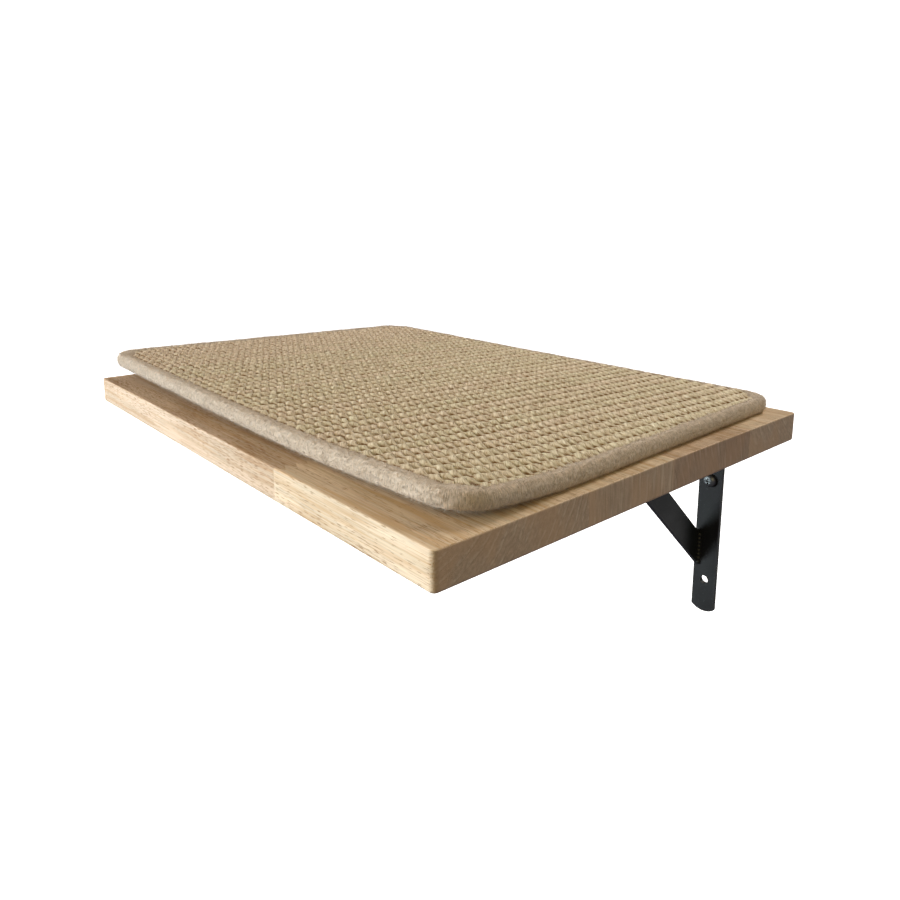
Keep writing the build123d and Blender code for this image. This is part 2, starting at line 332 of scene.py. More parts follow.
def wood(name, light, pore, pith, ring, offset):
    """Sawn hardwood: year rings round a pith line along X, fibre streaks and open pores."""
    shader = Shader(name, {"Specular IOR Level": 0.3})
    at = shader.moved(shader.scaled(shader.place(), (1000, 1000, 1000)), (offset, 0, 0))
    x, y, z = shader.axes(at)
    y, z = y - pith[0], z - pith[1]
    across = (y ** 2 + z ** 2) ** 0.5
    wander = shader.noise(at, (0.006, 0.03, 0.03), 3.0) - 0.5
    rings = (across + wander * 9.0) / ring
    phase = rings.calculate("FRACT", rings)
    turned = z.calculate("ARCTAN2", z, y)
    polar = shader.node("CombineXYZ", None, {0: across * 0.75, 1: turned * 24.0, 2: x * 0.3})
    late = shader.ramp(phase, 0.2, 0.9) * (1 - shader.ramp(phase, 0.93, 1.0))
    fine = shader.noise(at, (0.03, 1.3, 1.3), 5.0, 0.65)
    broad = shader.noise(at, (0.007, 0.08, 0.08), 2.0)
    crowd = shader.noise(at, (0.012, 0.07, 0.07), 1.0)
    dashes = shader.noise(at, (0.18, 2.8, 2.8), 0.0)
    pores = shader.ramp(dashes + (crowd - 0.5) * 0.5, 0.64, 0.74)
    sawn = shader.blend(pores * 0.8, sawn_faces(shader, at, light, late, broad, fine), rgba(pore))
    cut = end_grain(shader, at, light, polar, phase, late, broad, crowd)
    facing = shader.axes(shader.place("Normal"))[0]
    base = shader.blend(shader.ramp(facing * facing, 0.4, 0.8), sawn, cut)
    rough = 0.5 + fine * 0.16 + pores * 0.2
    height = fine * 0.35 - pores * 0.9 - late * 0.2
    return shader.finish(base, rough, height, 0.00012)


def black_paint(shade):
    """Satin black powder coat with fine orange peel and a few lighter rubs."""
    shader = Shader("Black_paint", {"Specular IOR Level": 0.35})
    shader.put(shader.skin.inputs["Specular Tint"], rgba((1.0, 0.9, 0.84)))
    at = shader.place()
    peel = shader.noise(at, 1400.0, 2.0)
    cloud = shader.noise(at, 60.0, 4.0)
    speck = shader.ramp(shader.noise(at, 900.0, 1.0), 0.68, 0.76)
    base = shader.blend(shader.ramp(cloud, 0.35, 0.75), rgba(shade), rgba(shade, 1.9))
    base = shader.blend(speck * 0.25, base, rgba((0.09, 0.10, 0.10)))
    return shader.finish(base, 0.42 + cloud * 0.2, peel, 0.00008)


def zinc(shade):
    """Bright zinc plate, a little clouded, with turning marks."""
    shader = Shader("Zinc_plate", {"Metallic": 1.0})
    at = shader.place()
    cloud = shader.noise(at, 260.0, 4.0)
    marks = shader.noise(at, (900, 5000, 900), 2.0)
    base = shader.blend(cloud, rgba(shade, 0.78), rgba(shade, 1.1))
    return shader.finish(base, 0.32 + cloud * 0.2, marks, 0.00004)


def sisal_yarn(shade):
    """Sisal yarn: long pale and dark fibres along it, some also painted as highlights, tone
    changing from lump to lump, and painted shade in its low parts, pinches and ply creases.
    """
    shader = Shader("Sisal_yarn", {"Specular IOR Level": 0.25})
    run = shader.node("UVMap", {"uv_map": "yarn"})
    fibre = shader.noise(run, (2.0, 20.0, 1.0), 3.0, 0.65)
    strand_and_highlight = shader.noise(run, (1.2, 9.0, 1.0), 2.0)
    tone = shader.node("Attribute", {"attribute_name": "tone"}, output="Color")
    hue, depth, ply_crease_shade = shader.axes(tone)
    base = shader.blend(hue, rgba((0.66, 0.605, 0.41)), rgba((0.76, 0.59, 0.465)))
    base = shader.blend(0.45, base, rgba(shade))
    base = shader.blend(shader.ramp(fibre, 0.32, 0.54), rgba((0.33, 0.24, 0.135)), base)
    # Pale strands along the yarn, partly the fibres' own tone and partly painted highlights on the
    # lumps
    base = shader.blend(shader.ramp(strand_and_highlight, 0.52, 0.74) * 0.55, base, rgba((0.86, 0.78, 0.62)))
    # Painted shade in the creases between the plies, from the tone's third part
    base = shader.blend(ply_crease_shade * 0.7, base, rgba((0.42, 0.29, 0.15)))
    # Painted shade from the tone's second part: the low parts of the yarns and the flanks of the
    # pinches
    base = shader.blend(depth * 0.95, base, rgba((0.20, 0.10, 0.038)))
    height = fibre * 0.7 + strand_and_highlight * 0.5
    return shader.finish(base, 0.6 + fibre * 0.2, height, 0.0006)


def ground_cloth(shade):
    """The ground under the yarns, dark partly of its own and partly as painted shade for the holes
    between the lumps.
    """
    shader = Shader("Sisal_ground", {})
    at = shader.place()
    fibre = shader.noise(at, (500, 2200, 500), 3.0)
    base = shader.blend(fibre, rgba(shade, 0.6), rgba(shade, 1.7))
    return shader.finish(base, 0.85 + fibre * 0.1, fibre, 0.0003)


def plush(shade):
    """Short plush: pile strokes across the roll, mottled where the pile leans."""
    shader = Shader("Plush", {"Sheen Weight": 0.4, "Sheen Roughness": 0.5})
    shader.put(shader.skin.inputs["Sheen Tint"], rgba((0.95, 0.9, 0.82)))
    run = shader.node("UVMap", {"uv_map": "pile"})
    stroke = shader.noise(run, (2000.0, 320.0, 1.0), 3.0, 0.6)
    mottle = shader.noise(run, (340.0, 300.0, 1.0), 3.0, 0.6)
    lean = shader.noise(run, (45.0, 60.0, 1.0), 2.0)
    base = shader.blend(shader.ramp(stroke, 0.32, 0.66), rgba(shade, 0.56), rgba(shade, 1.12))
    base = shader.blend(shader.ramp(mottle, 0.5, 0.68) * 0.35, base, rgba((0.82, 0.69, 0.58)))
    base = shader.blend(shader.ramp(lean, 0.35, 0.7) * 0.3, base, rgba(shade, 0.8))
    return shader.finish(base, 0.9, stroke * 0.8 + mottle * 0.6, 0.0007)


def felt(shade):
    """Needled felt: matted fibres of mixed tone."""
    shader = Shader("Felt", {"Sheen Weight": 0.15})
    at = shader.place()
    mat = shader.noise(at, 900.0, 5.0, 0.7)
    cloud = shader.noise(at, 130.0, 3.0)
    base = shader.blend(shader.ramp(mat, 0.3, 0.7), rgba(shade, 0.6), rgba(shade, 1.5))
    base = shader.blend(cloud * 0.3, base, rgba(shade, 0.7))
    return shader.finish(base, 0.92, mat, 0.0006)


def tape(shade):
    """Dyed nylon tape of the hook and loop pads."""
    shader = Shader("Nylon_tape", {"Specular IOR Level": 0.4})
    at = shader.place()
    thread = shader.noise(at, 1800.0, 3.0, 0.6)
    base = shader.blend(thread, rgba(shade, 0.7), rgba(shade, 2.4))
    return shader.finish(base, 0.5 + thread * 0.3, thread, 0.0002)


# Meshes. Mat pieces are worked out in millimetres in the mat's own frame.

def underside(x, y):
    """How high the mat's underside lies over the board, in millimetres."""
    sizes = bpy.context.scene.cat_shelf_mat
    share = np.clip(0.5 - x * MM / sizes.length, 0, None)
    front_rise = (sizes.lift_front_left - sizes.lift_front_right) * share ** sizes.front_power
    back_rise = (sizes.lift_back_left - sizes.lift_back_right) * share ** sizes.back_power
    front = sizes.lift_front_right + front_rise
    back = sizes.lift_back_right + back_rise
    from_end = (x * MM - sizes.length / 2) / sizes.near_along
    from_front = (y * MM + sizes.depth / 2) / sizes.near_back
    near = sizes.near_rise * np.exp(-(from_end ** 2 + from_front ** 2) / 2)
    return (front + (back - front) * (y * MM / sizes.depth + 0.5) + near) / MM


def on_board(points):
    """Points of the mat's frame, with heights over the board, in the shared frame in metres."""
    sizes = bpy.context.scene.cat_shelf_mat
    points = np.asarray(points, float) * MM
    cos, sin = math.cos(sizes.turn), math.sin(sizes.turn)
    x = points[:, 0] * cos - points[:, 1] * sin + sizes.middle_x
    y = points[:, 0] * sin + points[:, 1] * cos + sizes.middle_y
    return np.stack([x, y, points[:, 2] + board_top], 1)


def on_mat(points):
    """As on_board, with heights over the mat's curled underside."""
    points = np.array(points, float)
    points[:, 2] += underside(points[:, 0], points[:, 1])
    return on_board(points)


def piece(name, points, faces, material, body, uv=None, uv_name="", tone=None):
    """A smooth mesh object from points and faces, riding on a body."""
    mesh = bpy.data.meshes.new(name)
    mesh.from_pydata(np.asarray(points).tolist(), [], [list(map(int, f)) for f in faces])
    mesh.validate()
    mesh.polygons.foreach_set("use_smooth", np.ones(len(mesh.polygons), bool))
    corner = np.zeros(len(mesh.loops), int)
    mesh.loops.foreach_get("vertex_index", corner)
    if uv is not None:
        layer = mesh.uv_layers.new(name=uv_name)
        layer.data.foreach_set("uv", np.asarray(uv, np.float32)[corner].ravel())
    if tone is not None:
        layer = mesh.color_attributes.new("tone", "FLOAT_COLOR", "POINT")
        layer.data.foreach_set("color", np.asarray(tone, np.float32).ravel())
    mesh.materials.append(material)
    made = bpy.data.objects.new(name, mesh)
    bpy.context.scene.collection.objects.link(made)
    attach(made, body)
    return made


def dress(node, material):
    """Gives a node of the frame one material."""
    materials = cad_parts[node].data.materials
    materials.clear()
    materials.append(material)


def rows_of(*parts):
    """Values on one grid, or on its rows or columns alone, as one row of values for each point."""
    return np.stack(np.broadcast_arrays(*parts), -1).reshape(-1, len(parts))


def grid_faces(rows, columns, first=0, wrap_rows=False, wrap_columns=False):
    """Quads between the points of a grid, row by row."""
    r = np.arange(rows if wrap_rows else rows - 1)[:, None]
    c = np.arange(columns if wrap_columns else columns - 1)[None]
    r2, c2 = (r + 1) % rows, (c + 1) % columns
    return first + rows_of(r * columns + c, r2 * columns + c, r2 * columns + c2, r * columns + c2)


def slab_faces(rows, columns, first=0):
    """Faces of a closed slab: a grid of points, the same grid above it, and the rim between."""
    count = rows * columns
    lower = grid_faces(rows, columns, first)[:, ::-1]
    upper = grid_faces(rows, columns, first + count)
    index = first + np.arange(count).reshape(rows, columns)
    rim = np.concatenate([index[:-1, 0], index[-1, :-1], index[:0:-1, -1], index[0, :0:-1]])
    after = np.roll(rim, -1)
    wall = np.stack([after, after + count, rim + count, rim], 1)
    return np.concatenate([lower, upper, wall])


def tubes(name, lines, ring, material):
    """Many closed tubes of the mat in one object, each from its points, uv and tone ring by ring.

    The rings turn anticlockwise seen from the tube's end, so their quads are turned to face out.
    """
    turned_out = [0, 3, 2, 1]
    faces, first = [], 0
    for points, _, _ in lines:
        last = first + len(points) - ring
        sides = grid_faces(len(points) // ring, ring, first, wrap_columns=True)
        faces += sides[:, turned_out].tolist()
        faces.append(list(range(first + ring - 1, first - 1, -1)))
        faces.append(list(range(last, last + ring)))
        first += len(points)
    points, uv, tone = [np.concatenate(part) for part in zip(*lines)]
    return piece(name, points, faces, material, "mat", uv, "yarn", tone)


def wavy(values, rng, waves, size):
    """A smooth random line over values, from a few sine waves."""
    total = np.zeros_like(values, float)
    for wave in waves:
        total += rng.uniform(0.5, 1) * np.sin(values * math.tau / wave + rng.uniform(0, 6.3))
    return size * total / len(waves)


def per_lump(rng, low, high, lump):
    """A random value for each lump of a yarn, given at each point of the yarn."""
    return rng.uniform(low, high, lump_room)[lump]


def half_sizes(inset=0.0):
    """Half the mat's length and depth and its corner radius, set in, in millimetres."""
    sizes = bpy.context.scene.cat_shelf_mat
    return [size / MM - inset for size in (sizes.length / 2, sizes.depth / 2, sizes.corner)]


def half_across(place, half, other, corner):
    """Half the width of a rounded rectangle at a place along its other side."""
    reach = np.clip(np.abs(place) - (other - corner), 0, corner)
    return half - corner + np.sqrt(np.maximum(corner * corner - reach * reach, 0))


def half_length(y, inset):
    """Half the mat's length at y, on its outline set in by a distance, in millimetres."""
    half_long, half_deep, corner = half_sizes(inset)
    return half_across(y, half_long, half_deep, corner)


def half_depth(x, inset):
    """Half the mat's depth at x, on its outline set in by a distance, in millimetres."""
    half_long, half_deep, corner = half_sizes(inset)
    return half_across(x, half_deep, half_long, corner)


def binding_cover(right, back):
    """How far the binding reaches in where the mat's edge faces right and back by these shares."""
    cloth = bpy.context.scene.cat_shelf_cloth
    side = np.where(right > 0, cloth.cover_right, cloth.cover_left)
    end = np.where(back > 0, cloth.cover_back, cloth.cover_front)
    corner = cloth.cover_corner * np.abs(2 * right * back)
    return (right ** 2 * side + back ** 2 * end + corner) / MM


def past_binding(x, y):
    """How far a point of the weave lies inside the binding's inner edge, in millimetres."""
    half_long, half_deep, corner = half_sizes()
    over_x = np.abs(x) - (half_long - corner)
    over_y = np.abs(y) - (half_deep - corner)
    in_corner = (over_x > 0) & (over_y > 0)
    far = np.maximum(np.hypot(over_x, over_y), 0.01)
    along_x = np.where(in_corner, over_x / far, over_x > over_y) * np.sign(x)
    along_y = np.where(in_corner, over_y / far, over_x <= over_y) * np.sign(y)
    inside = corner - np.where(in_corner, far, np.maximum(over_x, over_y))
    return inside - binding_cover(along_x, along_y)


def cloth_slab(name, inset, low, high, step, rough, material):
    """A curled sheet with a rounded outline and a matted surface, closed all round."""
    rng = np.random.default_rng(bpy.context.scene.cat_shelf_cloth.seed)
    end = half_sizes(inset)[0]
    columns = int(2 * end / step)
    rows = int(2 * half_sizes()[1] / step)
    closer_at_ends = -end * np.cos(np.linspace(0, math.pi, columns + 1))
    x = 0.25 * closer_at_ends + 0.75 * np.linspace(-end, end, columns + 1)
    y = np.linspace(-1, 1, rows + 1) * half_depth(x, inset)[:, None]
    layers = []
    for level, sign in ((low, -1), (high, 1)):
        nap = rng.uniform(-rough, rough, y.shape)
        layers.append(rows_of(x[:, None], y, level + sign * nap))
    faces = slab_faces(columns + 1, rows + 1)
    return piece(name, on_mat(np.concatenate(layers)), faces, material, "mat")


def panel_size():
    """Length and depth of the weave and its backing inside the binding, in metres."""
    size, cloth = bpy.context.scene.cat_shelf_mat, bpy.context.scene.cat_shelf_cloth
    return size.length - 2 * cloth.skin, size.depth - 2 * cloth.skin


# Pieces

class CATSHELF_OT_board(bpy.types.Operator):
    """Gives each block of the board its own sawn wood"""

    bl_idname = "cat_shelf.board"
    bl_label = "Board blocks"

    def execute(self, context):
        colours = context.scene.cat_shelf_colours
        pale, pink, pore = colours.pale_wood, colours.pink_wood, colours.pore
        # Block, tone, its pith line's y and z, width of its year rings and start of its noise, in
        # millimetres
        rows = [
            ("front_stave_left_block", pink, (-318, 46), 6.5, 0),
            ("front_stave_right_block", pale, (-314, 41), 4.6, 700),
            ("second_stave_left_block", pink, (-620, 30), 8.0, 1500),
            ("second_stave_right_block", pale, (-560, -12), 7.0, 2300),
            ("third_stave_left_block", pale, (-420, -60), 8.0, 3100),
            ("third_stave_right_block", pink, (-360, -70), 6.0, 3900),
            ("back_stave_left_block", pale, (70, 90), 9.0, 4700),
            ("back_stave_right_block", pale, (60, 75), 8.0, 5500),
        ]
        for node, light, pith, ring, offset in rows:
            dress(node, wood("Wood_" + node, light, pore, pith, ring, offset))
        return {"FINISHED"}


class CATSHELF_OT_brackets(bpy.types.Operator):
    """Paints the brackets and plates their fasteners"""

    bl_idname = "cat_shelf.brackets"
    bl_label = "Brackets and fasteners"

    def execute(self, context):
        colours = context.scene.cat_shelf_colours
        paint, plate = black_paint(colours.black), zinc(colours.zinc)
        painted = ("angle_strip", "brace", "brace_welds")
        plated = ("wall_arm_screw", "wall_arm_nut", "board_screws")
        for side in ("left", "right"):
            for names, material in ((painted, paint), (plated, plate)):
                for name in names:
                    dress(f"{side}_{name}", material)
        return {"FINISHED"}


class CATSHELF_OT_weave(bpy.types.Operator):
    """Weaves the sisal panel: its ground, its yarns and the threads that bind them"""

    bl_idname = "cat_shelf.weave"
    bl_label = "Sisal weave"

    def execute(self, context):
        colours, cloth = context.scene.cat_shelf_colours, context.scene.cat_shelf_cloth
        rng = np.random.default_rng(cloth.seed)
        ground_low, ground_high = (cloth.skin + cloth.backing) / MM, 5.3
        ground = cloth_slab(
            "sisal_ground", cloth.skin / MM, ground_low, ground_high,
            step=4.0, rough=0.08, material=ground_cloth(colours.sisal_ground_and_shade),
        )
        yarn = sisal_yarn(colours.sisal)
        lines = self.yarns(cloth, rng)
        share = math.ceil(len(lines) / 4)
        names = ("front", "front_middle", "back_middle", "back")
        weft = [
            tubes("sisal_yarns_" + name, lines[k * share:(k + 1) * share], yarn_ring, yarn)
            for k, name in enumerate(names)
        ]
        warp = tubes("sisal_warp_threads", self.warps(cloth, rng), warp_ring, yarn)
        loose = tubes("sisal_loose_fibres", self.fibres(rng), fibre_ring, yarn)
        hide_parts("sisal_weave")
        flat = panel_size()
        return {"FINISHED"}

    def spread(self, cloth):
        """Where the first and last yarns' outer sides lie, and how many yarns there are."""
        size, under_binding = bpy.context.scene.cat_shelf_mat, 0.8
        low = (-size.depth / 2 + cloth.cover_front) / MM - under_binding
        high = (size.depth / 2 - cloth.cover_back) / MM + under_binding
        return low, high, round((high - low) * MM / cloth.yarn)

    def yarns(self, cloth, rng):
        """The weft yarns, from the front of the mat to its back."""
        low, high, count = self.spread(cloth)
        pitch = (high - low) / count
        row_hue = rng.uniform(0, 1, lump_room)
        return [
            self.yarn(cloth, rng, number, low + (number + 0.5) * pitch, row_hue)
            for number in range(count)
        ]

    def yarn(self, cloth, rng, number, middle, row_hue):
        """A weft yarn along X, twisted of three plies, a row of lumps with a pinch between two."""
        end_inset, points_in_row = 5.5, 10
        pinch_width, lump_width, pinch_height, lump_height = 1.1, 1.85, 1.45, 0.65
        level, lump_rise, sink, ply_run, stray = 6.7, 0.85, 1.4, 30, 0.07
        row, reach = cloth.row / MM, half_length(middle, end_inset)
        x = np.linspace(-reach, reach, int(2 * reach / row * points_in_row) + 1)
        phase = (x - cloth.lean * middle + wavy(x, rng, (61, 139), 0.35)) / row + middle_lump
        lump = phase.astype(int)
        arch = np.abs(np.sin(math.pi * phase))
        crown, fill = arch ** 0.55, arch ** 0.4
        wide = per_lump(rng, 0.84, 1.1, lump)
        tall = per_lump(rng, 0.7, 1.15, lump)
        aside = per_lump(rng, -0.3, 0.3, lump)
        tilt = per_lump(rng, -0.1, 0.3, lump) * crown
        hue = 0.55 * row_hue[lump] + 0.45 * per_lump(rng, 0, 1, lump)
        pinker_left = np.clip(-(x + 85) / 90, 0, 1)
        hue = np.clip(hue + 0.7 * pinker_left, 0, 1.3)
        free = np.clip(past_binding(x, np.full_like(x, middle)) / 1.3 + 1.3, 0, 1)
        half_width = pinch_width + lump_width * fill * wide
        half_height = (pinch_height + lump_height * crown * tall) * (0.6 + 0.4 * free)
        slant = 0.7 * np.sin(math.tau * phase)
        y = middle + slant + aside * crown + wavy(x, rng, (47, 173), 0.25)
        z = level + lump_rise * crown * tall - sink * (1 - free)
        knot = per_lump(rng, -0.12, 0.12, lump) * crown
        turn = math.tau * (x / ply_run + rng.uniform(0, 1) + knot)
        around = np.arange(yarn_ring) * math.tau / yarn_ring
        ply = np.abs(np.cos(1.5 * (around - turn[:, None])))
        swell = 0.83 + 0.21 * ply ** 0.6
        rise = np.sin(around) + tilt[:, None] * np.cos(around)
        ring_y = y[:, None] + half_width[:, None] * swell * np.cos(around)
        ring_z = z[:, None] + half_height[:, None] * swell * rise
        fray = rng.uniform(-stray, stray, ring_y.shape)
        points = on_mat(rows_of(x[:, None], ring_y + fray, ring_z + fray))
        uv = rows_of(x[:, None] / 10 + number * 7.3, (around - turn[:, None]) / math.tau)
        # Painted shade: the yarn is darkened low down and on the flanks of each pinch, where the
        # holes between lumps lie in shade
        flank = np.clip(np.abs(np.cos(around)) * 3.0 - 1.1, 0, 1)
        hole = np.clip(2.1 - 2.4 * arch, 0, 1)[:, None] * flank
        painted_shade = np.maximum(np.clip((7.2 - ring_z) / 1.2, 0, 1), hole)
        # Painted shade in the creases between the plies
        ply_crease_shade = np.clip(1 - ply * 2.6, 0, 1)
        return points, uv, rows_of(hue[:, None], painted_shade, ply_crease_shade, 1.0)

    def warps(self, cloth, rng):
        """The thin warp threads, run back to front, that hold the yarns down between the lumps."""
        radius, level, swing, shortest = 0.42, 5.7, 0.9, 12
        low, high, count = self.spread(cloth)
        row, pitch = cloth.row / MM, (high - low) / count
        ends = int(half_sizes()[0] / row) + 3
        around = np.arange(warp_ring) * math.tau / warp_ring
        rim = radius * np.stack([np.cos(around), 0 * around, np.sin(around)], 1)
        lines = []
        for k in range(-ends, ends + 1):
            y = np.arange(low + pitch / 12, high, pitch / 6)[::-1]
            x = k * row + cloth.lean * y
            inside = past_binding(x, y) > -1.0
            x, y = x[inside], y[inside]
            if len(x) < shortest:
                continue
            z = level + swing * np.cos(math.tau * ((y - low) / pitch - 0.5))
            ring = np.stack([x + wavy(y, rng, (23, 71), 0.3), y, z], 1)[:, None] + rim
            uv = rows_of(y[:, None] / 10 + k * 3.1, around / math.tau)
            # Painted shade on the warp threads where they lie low
            painted_shade = np.clip((7.2 - ring[..., 2]) / 1.4, 0, 1)
            lines.append((on_mat(ring.reshape(-1, 3)), uv, rows_of(0.5, painted_shade, 0.0, 1.0)))
        return lines

    def fibres(self, rng):
        """Loose fibres that stand out of the yarns."""
        count, margin, thickest, level, bury = 200, 24, 0.12, 9.3, 0.6
        half_long, half_deep = half_sizes(margin)[:2]
        around = np.arange(fibre_ring) * math.tau / fibre_ring
        t = np.linspace(-0.5, 0.5, 9)
        thick = thickest * (1.02 - np.abs(2 * t) ** 2)
        lines = []
        for _ in range(count):
            middle_x = rng.uniform(-1, 1) * half_long
            middle_y = rng.uniform(-1, 1) * half_deep
            heading = rng.normal(0.1, 0.5)
            long = rng.uniform(4, 13)
            bow = rng.uniform(-0.3, 0.3)
            cos, sin = math.cos(heading), math.sin(heading)
            x = middle_x + long * (t * cos - bow * (t * t) * sin)
            y = middle_y + long * (t * sin + bow * (t * t) * cos)
            z = level + rng.uniform(0.1, 0.9) * (1 - 4 * t * t) - bury * (2 * t) ** 4
            rim = np.stack([-np.cos(around) * sin, np.cos(around) * cos, np.sin(around)], 1)
            ring = np.stack([x, y, z], 1)[:, None] + thick[:, None, None] * rim
            points = on_mat(ring.reshape(-1, 3))
            tone = np.tile((rng.uniform(0, 1), 0, 0, 1), (len(points), 1))
            lines.append((points, rows_of(t[:, None], around), tone))
        return lines


class CATSHELF_OT_binding(bpy.types.Operator):
    """Rolls the plush binding round the mat's edge"""

    bl_idname = "cat_shelf.binding"
    bl_label = "Plush binding"

    def execute(self, context):
        cloth = context.scene.cat_shelf_cloth
        rng = np.random.default_rng(cloth.seed + 1)
        points, normal, uv, edge = self.roll(cloth, rng)
        stations, count = points.shape[:2]
        faces = grid_faces(stations, count, wrap_rows=True, wrap_columns=True)
        cloth_skin = plush(context.scene.cat_shelf_colours.plush)
        binding = piece(
            "plush_binding_roll", on_mat(points.reshape(-1, 3)), faces,
            cloth_skin, "mat", uv.reshape(-1, 2), "pile",
        )
        self.close_run(binding, faces, count, edge / 1000)
        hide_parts("plush_binding")
        pile = self.pile(points, normal, uv, cloth_skin, rng)
        edge * MM
        return {"FINISHED"}

    def roll(self, cloth, rng):
        """The rolled cloth, point by point at each station: place, outward direction and run."""
        nap_size, sag_at_back, kept_in = 0.13, 0.5, 4
        outline, outward, run, edge = self.outline(1.0)
        inward, height, along, shown = self.section(cloth)
        middle = cloth.height / MM / 2
        far_in = np.clip((inward - kept_in) / (inward.max() - kept_in), 0, 1)
        reach = binding_cover(outward[:, 0], outward[:, 1]) - inward.max()
        reach += wavy(run, rng, (edge / 36, edge / 17, edge / 7), 0.5)
        in_by = inward + far_in * reach[:, None]
        puff = 1 + wavy(run, rng, (edge / 41, edge / 19, edge / 8), 0.05)
        rise = (height - middle) * puff[:, None]
        rise -= (height > middle) * sag_at_back * np.clip(outward[:, 1:], 0, 1)
        points = np.zeros((*in_by.shape, 3))
        points[..., :2] = outline[:, None] - in_by[..., None] * outward[:, None]
        points[..., 2] = middle + rise
        slope_in, slope_up = np.gradient(inward), np.gradient(height)
        slope = np.hypot(slope_in, slope_up)
        normal = np.zeros_like(points)
        normal[..., :2] = (slope_up / slope)[:, None] * outward[:, None]
        normal[..., 2] = slope_in / slope
        nap = rng.normal(0, 1, in_by.shape)
        nap = 0.5 * nap + 0.5 * np.roll(nap, 1, 1)
        nap = nap + np.roll(nap, 1, 0) * 0.5
        points += (nap_size * nap * shown)[..., None] * normal
        uv = np.stack(np.broadcast_arrays(run[:, None] / 1000, along / 1000), -1)
        return points, normal, uv, edge

    def close_run(self, binding, faces, count, edge):
        """Ends the last faces at the roll's full run, where the first faces start at none."""
        last = len(faces) - count
        layer = binding.data.uv_layers["pile"]
        uv = np.zeros(len(layer.data) * 2, np.float32)
        layer.data.foreach_get("uv", uv)
        uv = uv.reshape(-1, 4, 2)
        wraps = (np.arange(len(faces)) >= last)[:, None] & (faces < count)
        uv[wraps, 0] = edge
        layer.data.foreach_set("uv", uv.ravel())

    def pile(self, points, normal, uv, material, rng):
        """Short hairs of the pile, each a thin spike that leans its own way."""
        hairs, first_strip, end_strip, foot = 44000, 3, 34, 0.1
        stations = len(points)
        i, c = rng.integers(0, stations, hairs), rng.integers(first_strip, end_strip, hairs)
        after = (i + 1) % stations
        along, across = rng.uniform(0, 1, (hairs, 1)), rng.uniform(0, 1, (hairs, 1))
        base = points[i, c] + along * (points[after, c] - points[i, c])
        base += across * (points[i, c + 1] - points[i, c])
        lean = normal[i, c] * rng.uniform(0.35, 1, (hairs, 1)) + rng.normal(0, 0.4, (hairs, 3))
        lean /= np.linalg.norm(lean, axis=1)[:, None]
        tip = base + lean * rng.uniform(0.6, 1.8, (hairs, 1))
        side = np.cross(lean, rng.normal(0, 1, (hairs, 3)))
        side /= np.linalg.norm(side, axis=1)[:, None]
        other = np.cross(lean, side)
        feet = [
            base - foot * lean + foot * (math.cos(turn) * side + math.sin(turn) * other)
            for turn in (0, math.tau / 3, math.tau * 2 / 3)
        ]
        spikes = np.stack([*feet, tip], 1)
        corners = np.array([(0, 2, 1), (0, 1, 3), (1, 2, 3), (2, 0, 3)])
        faces = (4 * np.arange(hairs)[:, None, None] + corners).reshape(-1, 3)
        hair_uv = np.repeat(uv[i, c], 4, 0)
        return piece(
            "plush_binding_pile", on_mat(spikes.reshape(-1, 3)), faces, material, "mat",
            hair_uv, "pile",
        )

    def outline(self, step):
        """Points of the mat's outline, the outward direction there, the run so far and in all."""
        a, b, r = half_sizes()
        points, outward = [], []
        corners = [
            (-a + r, b - r, 90), (-a + r, -b + r, 180), (a - r, -b + r, -90), (a - r, b - r, 0)
        ]
        for k, (x, y, start) in enumerate(corners):
            turns = int(r * math.pi / 2 / step)
            for i in range(turns):
                angle = math.radians(start + 90 * i / turns)
                direction = (math.cos(angle), math.sin(angle))
                points.append((x + r * direction[0], y + r * direction[1]))
                outward.append(direction)
            after = corners[(k + 1) % 4]
            angle = math.radians(start + 90)
            direction = np.array([math.cos(angle), math.sin(angle)])
            begin = np.array([x, y]) + r * direction
            end = np.array(after[:2]) + r * direction
            steps = int(np.linalg.norm(end - begin) / step)
            for i in range(steps):
                points.append(tuple(begin + (end - begin) * i / steps))
                outward.append(tuple(direction))
        points, outward = np.array(points), np.array(outward)
        gaps = np.linalg.norm(np.diff(points, axis=0, append=points[:1]), axis=1)
        run = np.concatenate([[0], np.cumsum(gaps)])
        return points, outward, run[:-1], run[-1]

    def section(self, cloth):
        """The binding's cut: how far in and how high, the run round it and what shows."""
        shown_points, hidden_step, seam_depth, seam_in, seam_width = 36, 2.0, 0.35, 2.2, 0.5
        high, cover, skin = cloth.height / MM, cloth.cover_front / MM, cloth.skin / MM
        corners = np.array([
            (cover, 0.1), (cover - 2.5, 0.0), (4.6, 0.0), (2.6, 0.25), (1.1, 1.1), (0.25, 2.7),
            (0.0, high * 0.5), (0.2, high - 2.6), (0.95, high - 1.15), (2.3, high - 0.2),
            (4.2, high - 0.2), (6.2, high - 0.3), (cover - 1.8, high - 0.5),
            (cover - 0.5, high - 1.1), (cover, high - 2.2),
        ])
        inner = np.array([
            (cover - 0.8, high - skin - 0.9), (skin + 1.0, high - skin), (skin, high - skin - 1.0),
            (skin, skin + 1.0), (skin + 1.0, skin), (cover - 0.6, skin),
        ])
        gaps = np.linalg.norm(np.diff(corners, axis=0), axis=1)
        run = np.concatenate([[0], np.cumsum(gaps)])
        along = np.linspace(0, run[-1], shown_points)
        spread = [np.interp(along, run, corners[:, i]) for i in range(2)]
        for _ in range(2):
            for line in spread:
                line[1:-1] = 0.25 * line[:-2] + 0.5 * line[1:-1] + 0.25 * line[2:]
        seam = seam_depth * np.exp(-((spread[0] - cover + seam_in) / seam_width) ** 2)
        spread[1] -= seam * (spread[1] > high / 2)
        inward = np.concatenate([spread[0], inner[:, 0]])
        height = np.concatenate([spread[1], inner[:, 1]])
        shown = np.concatenate([np.ones(shown_points), np.zeros(len(inner))])
        inner_run = run[-1] + hidden_step * np.arange(1, len(inner) + 1)
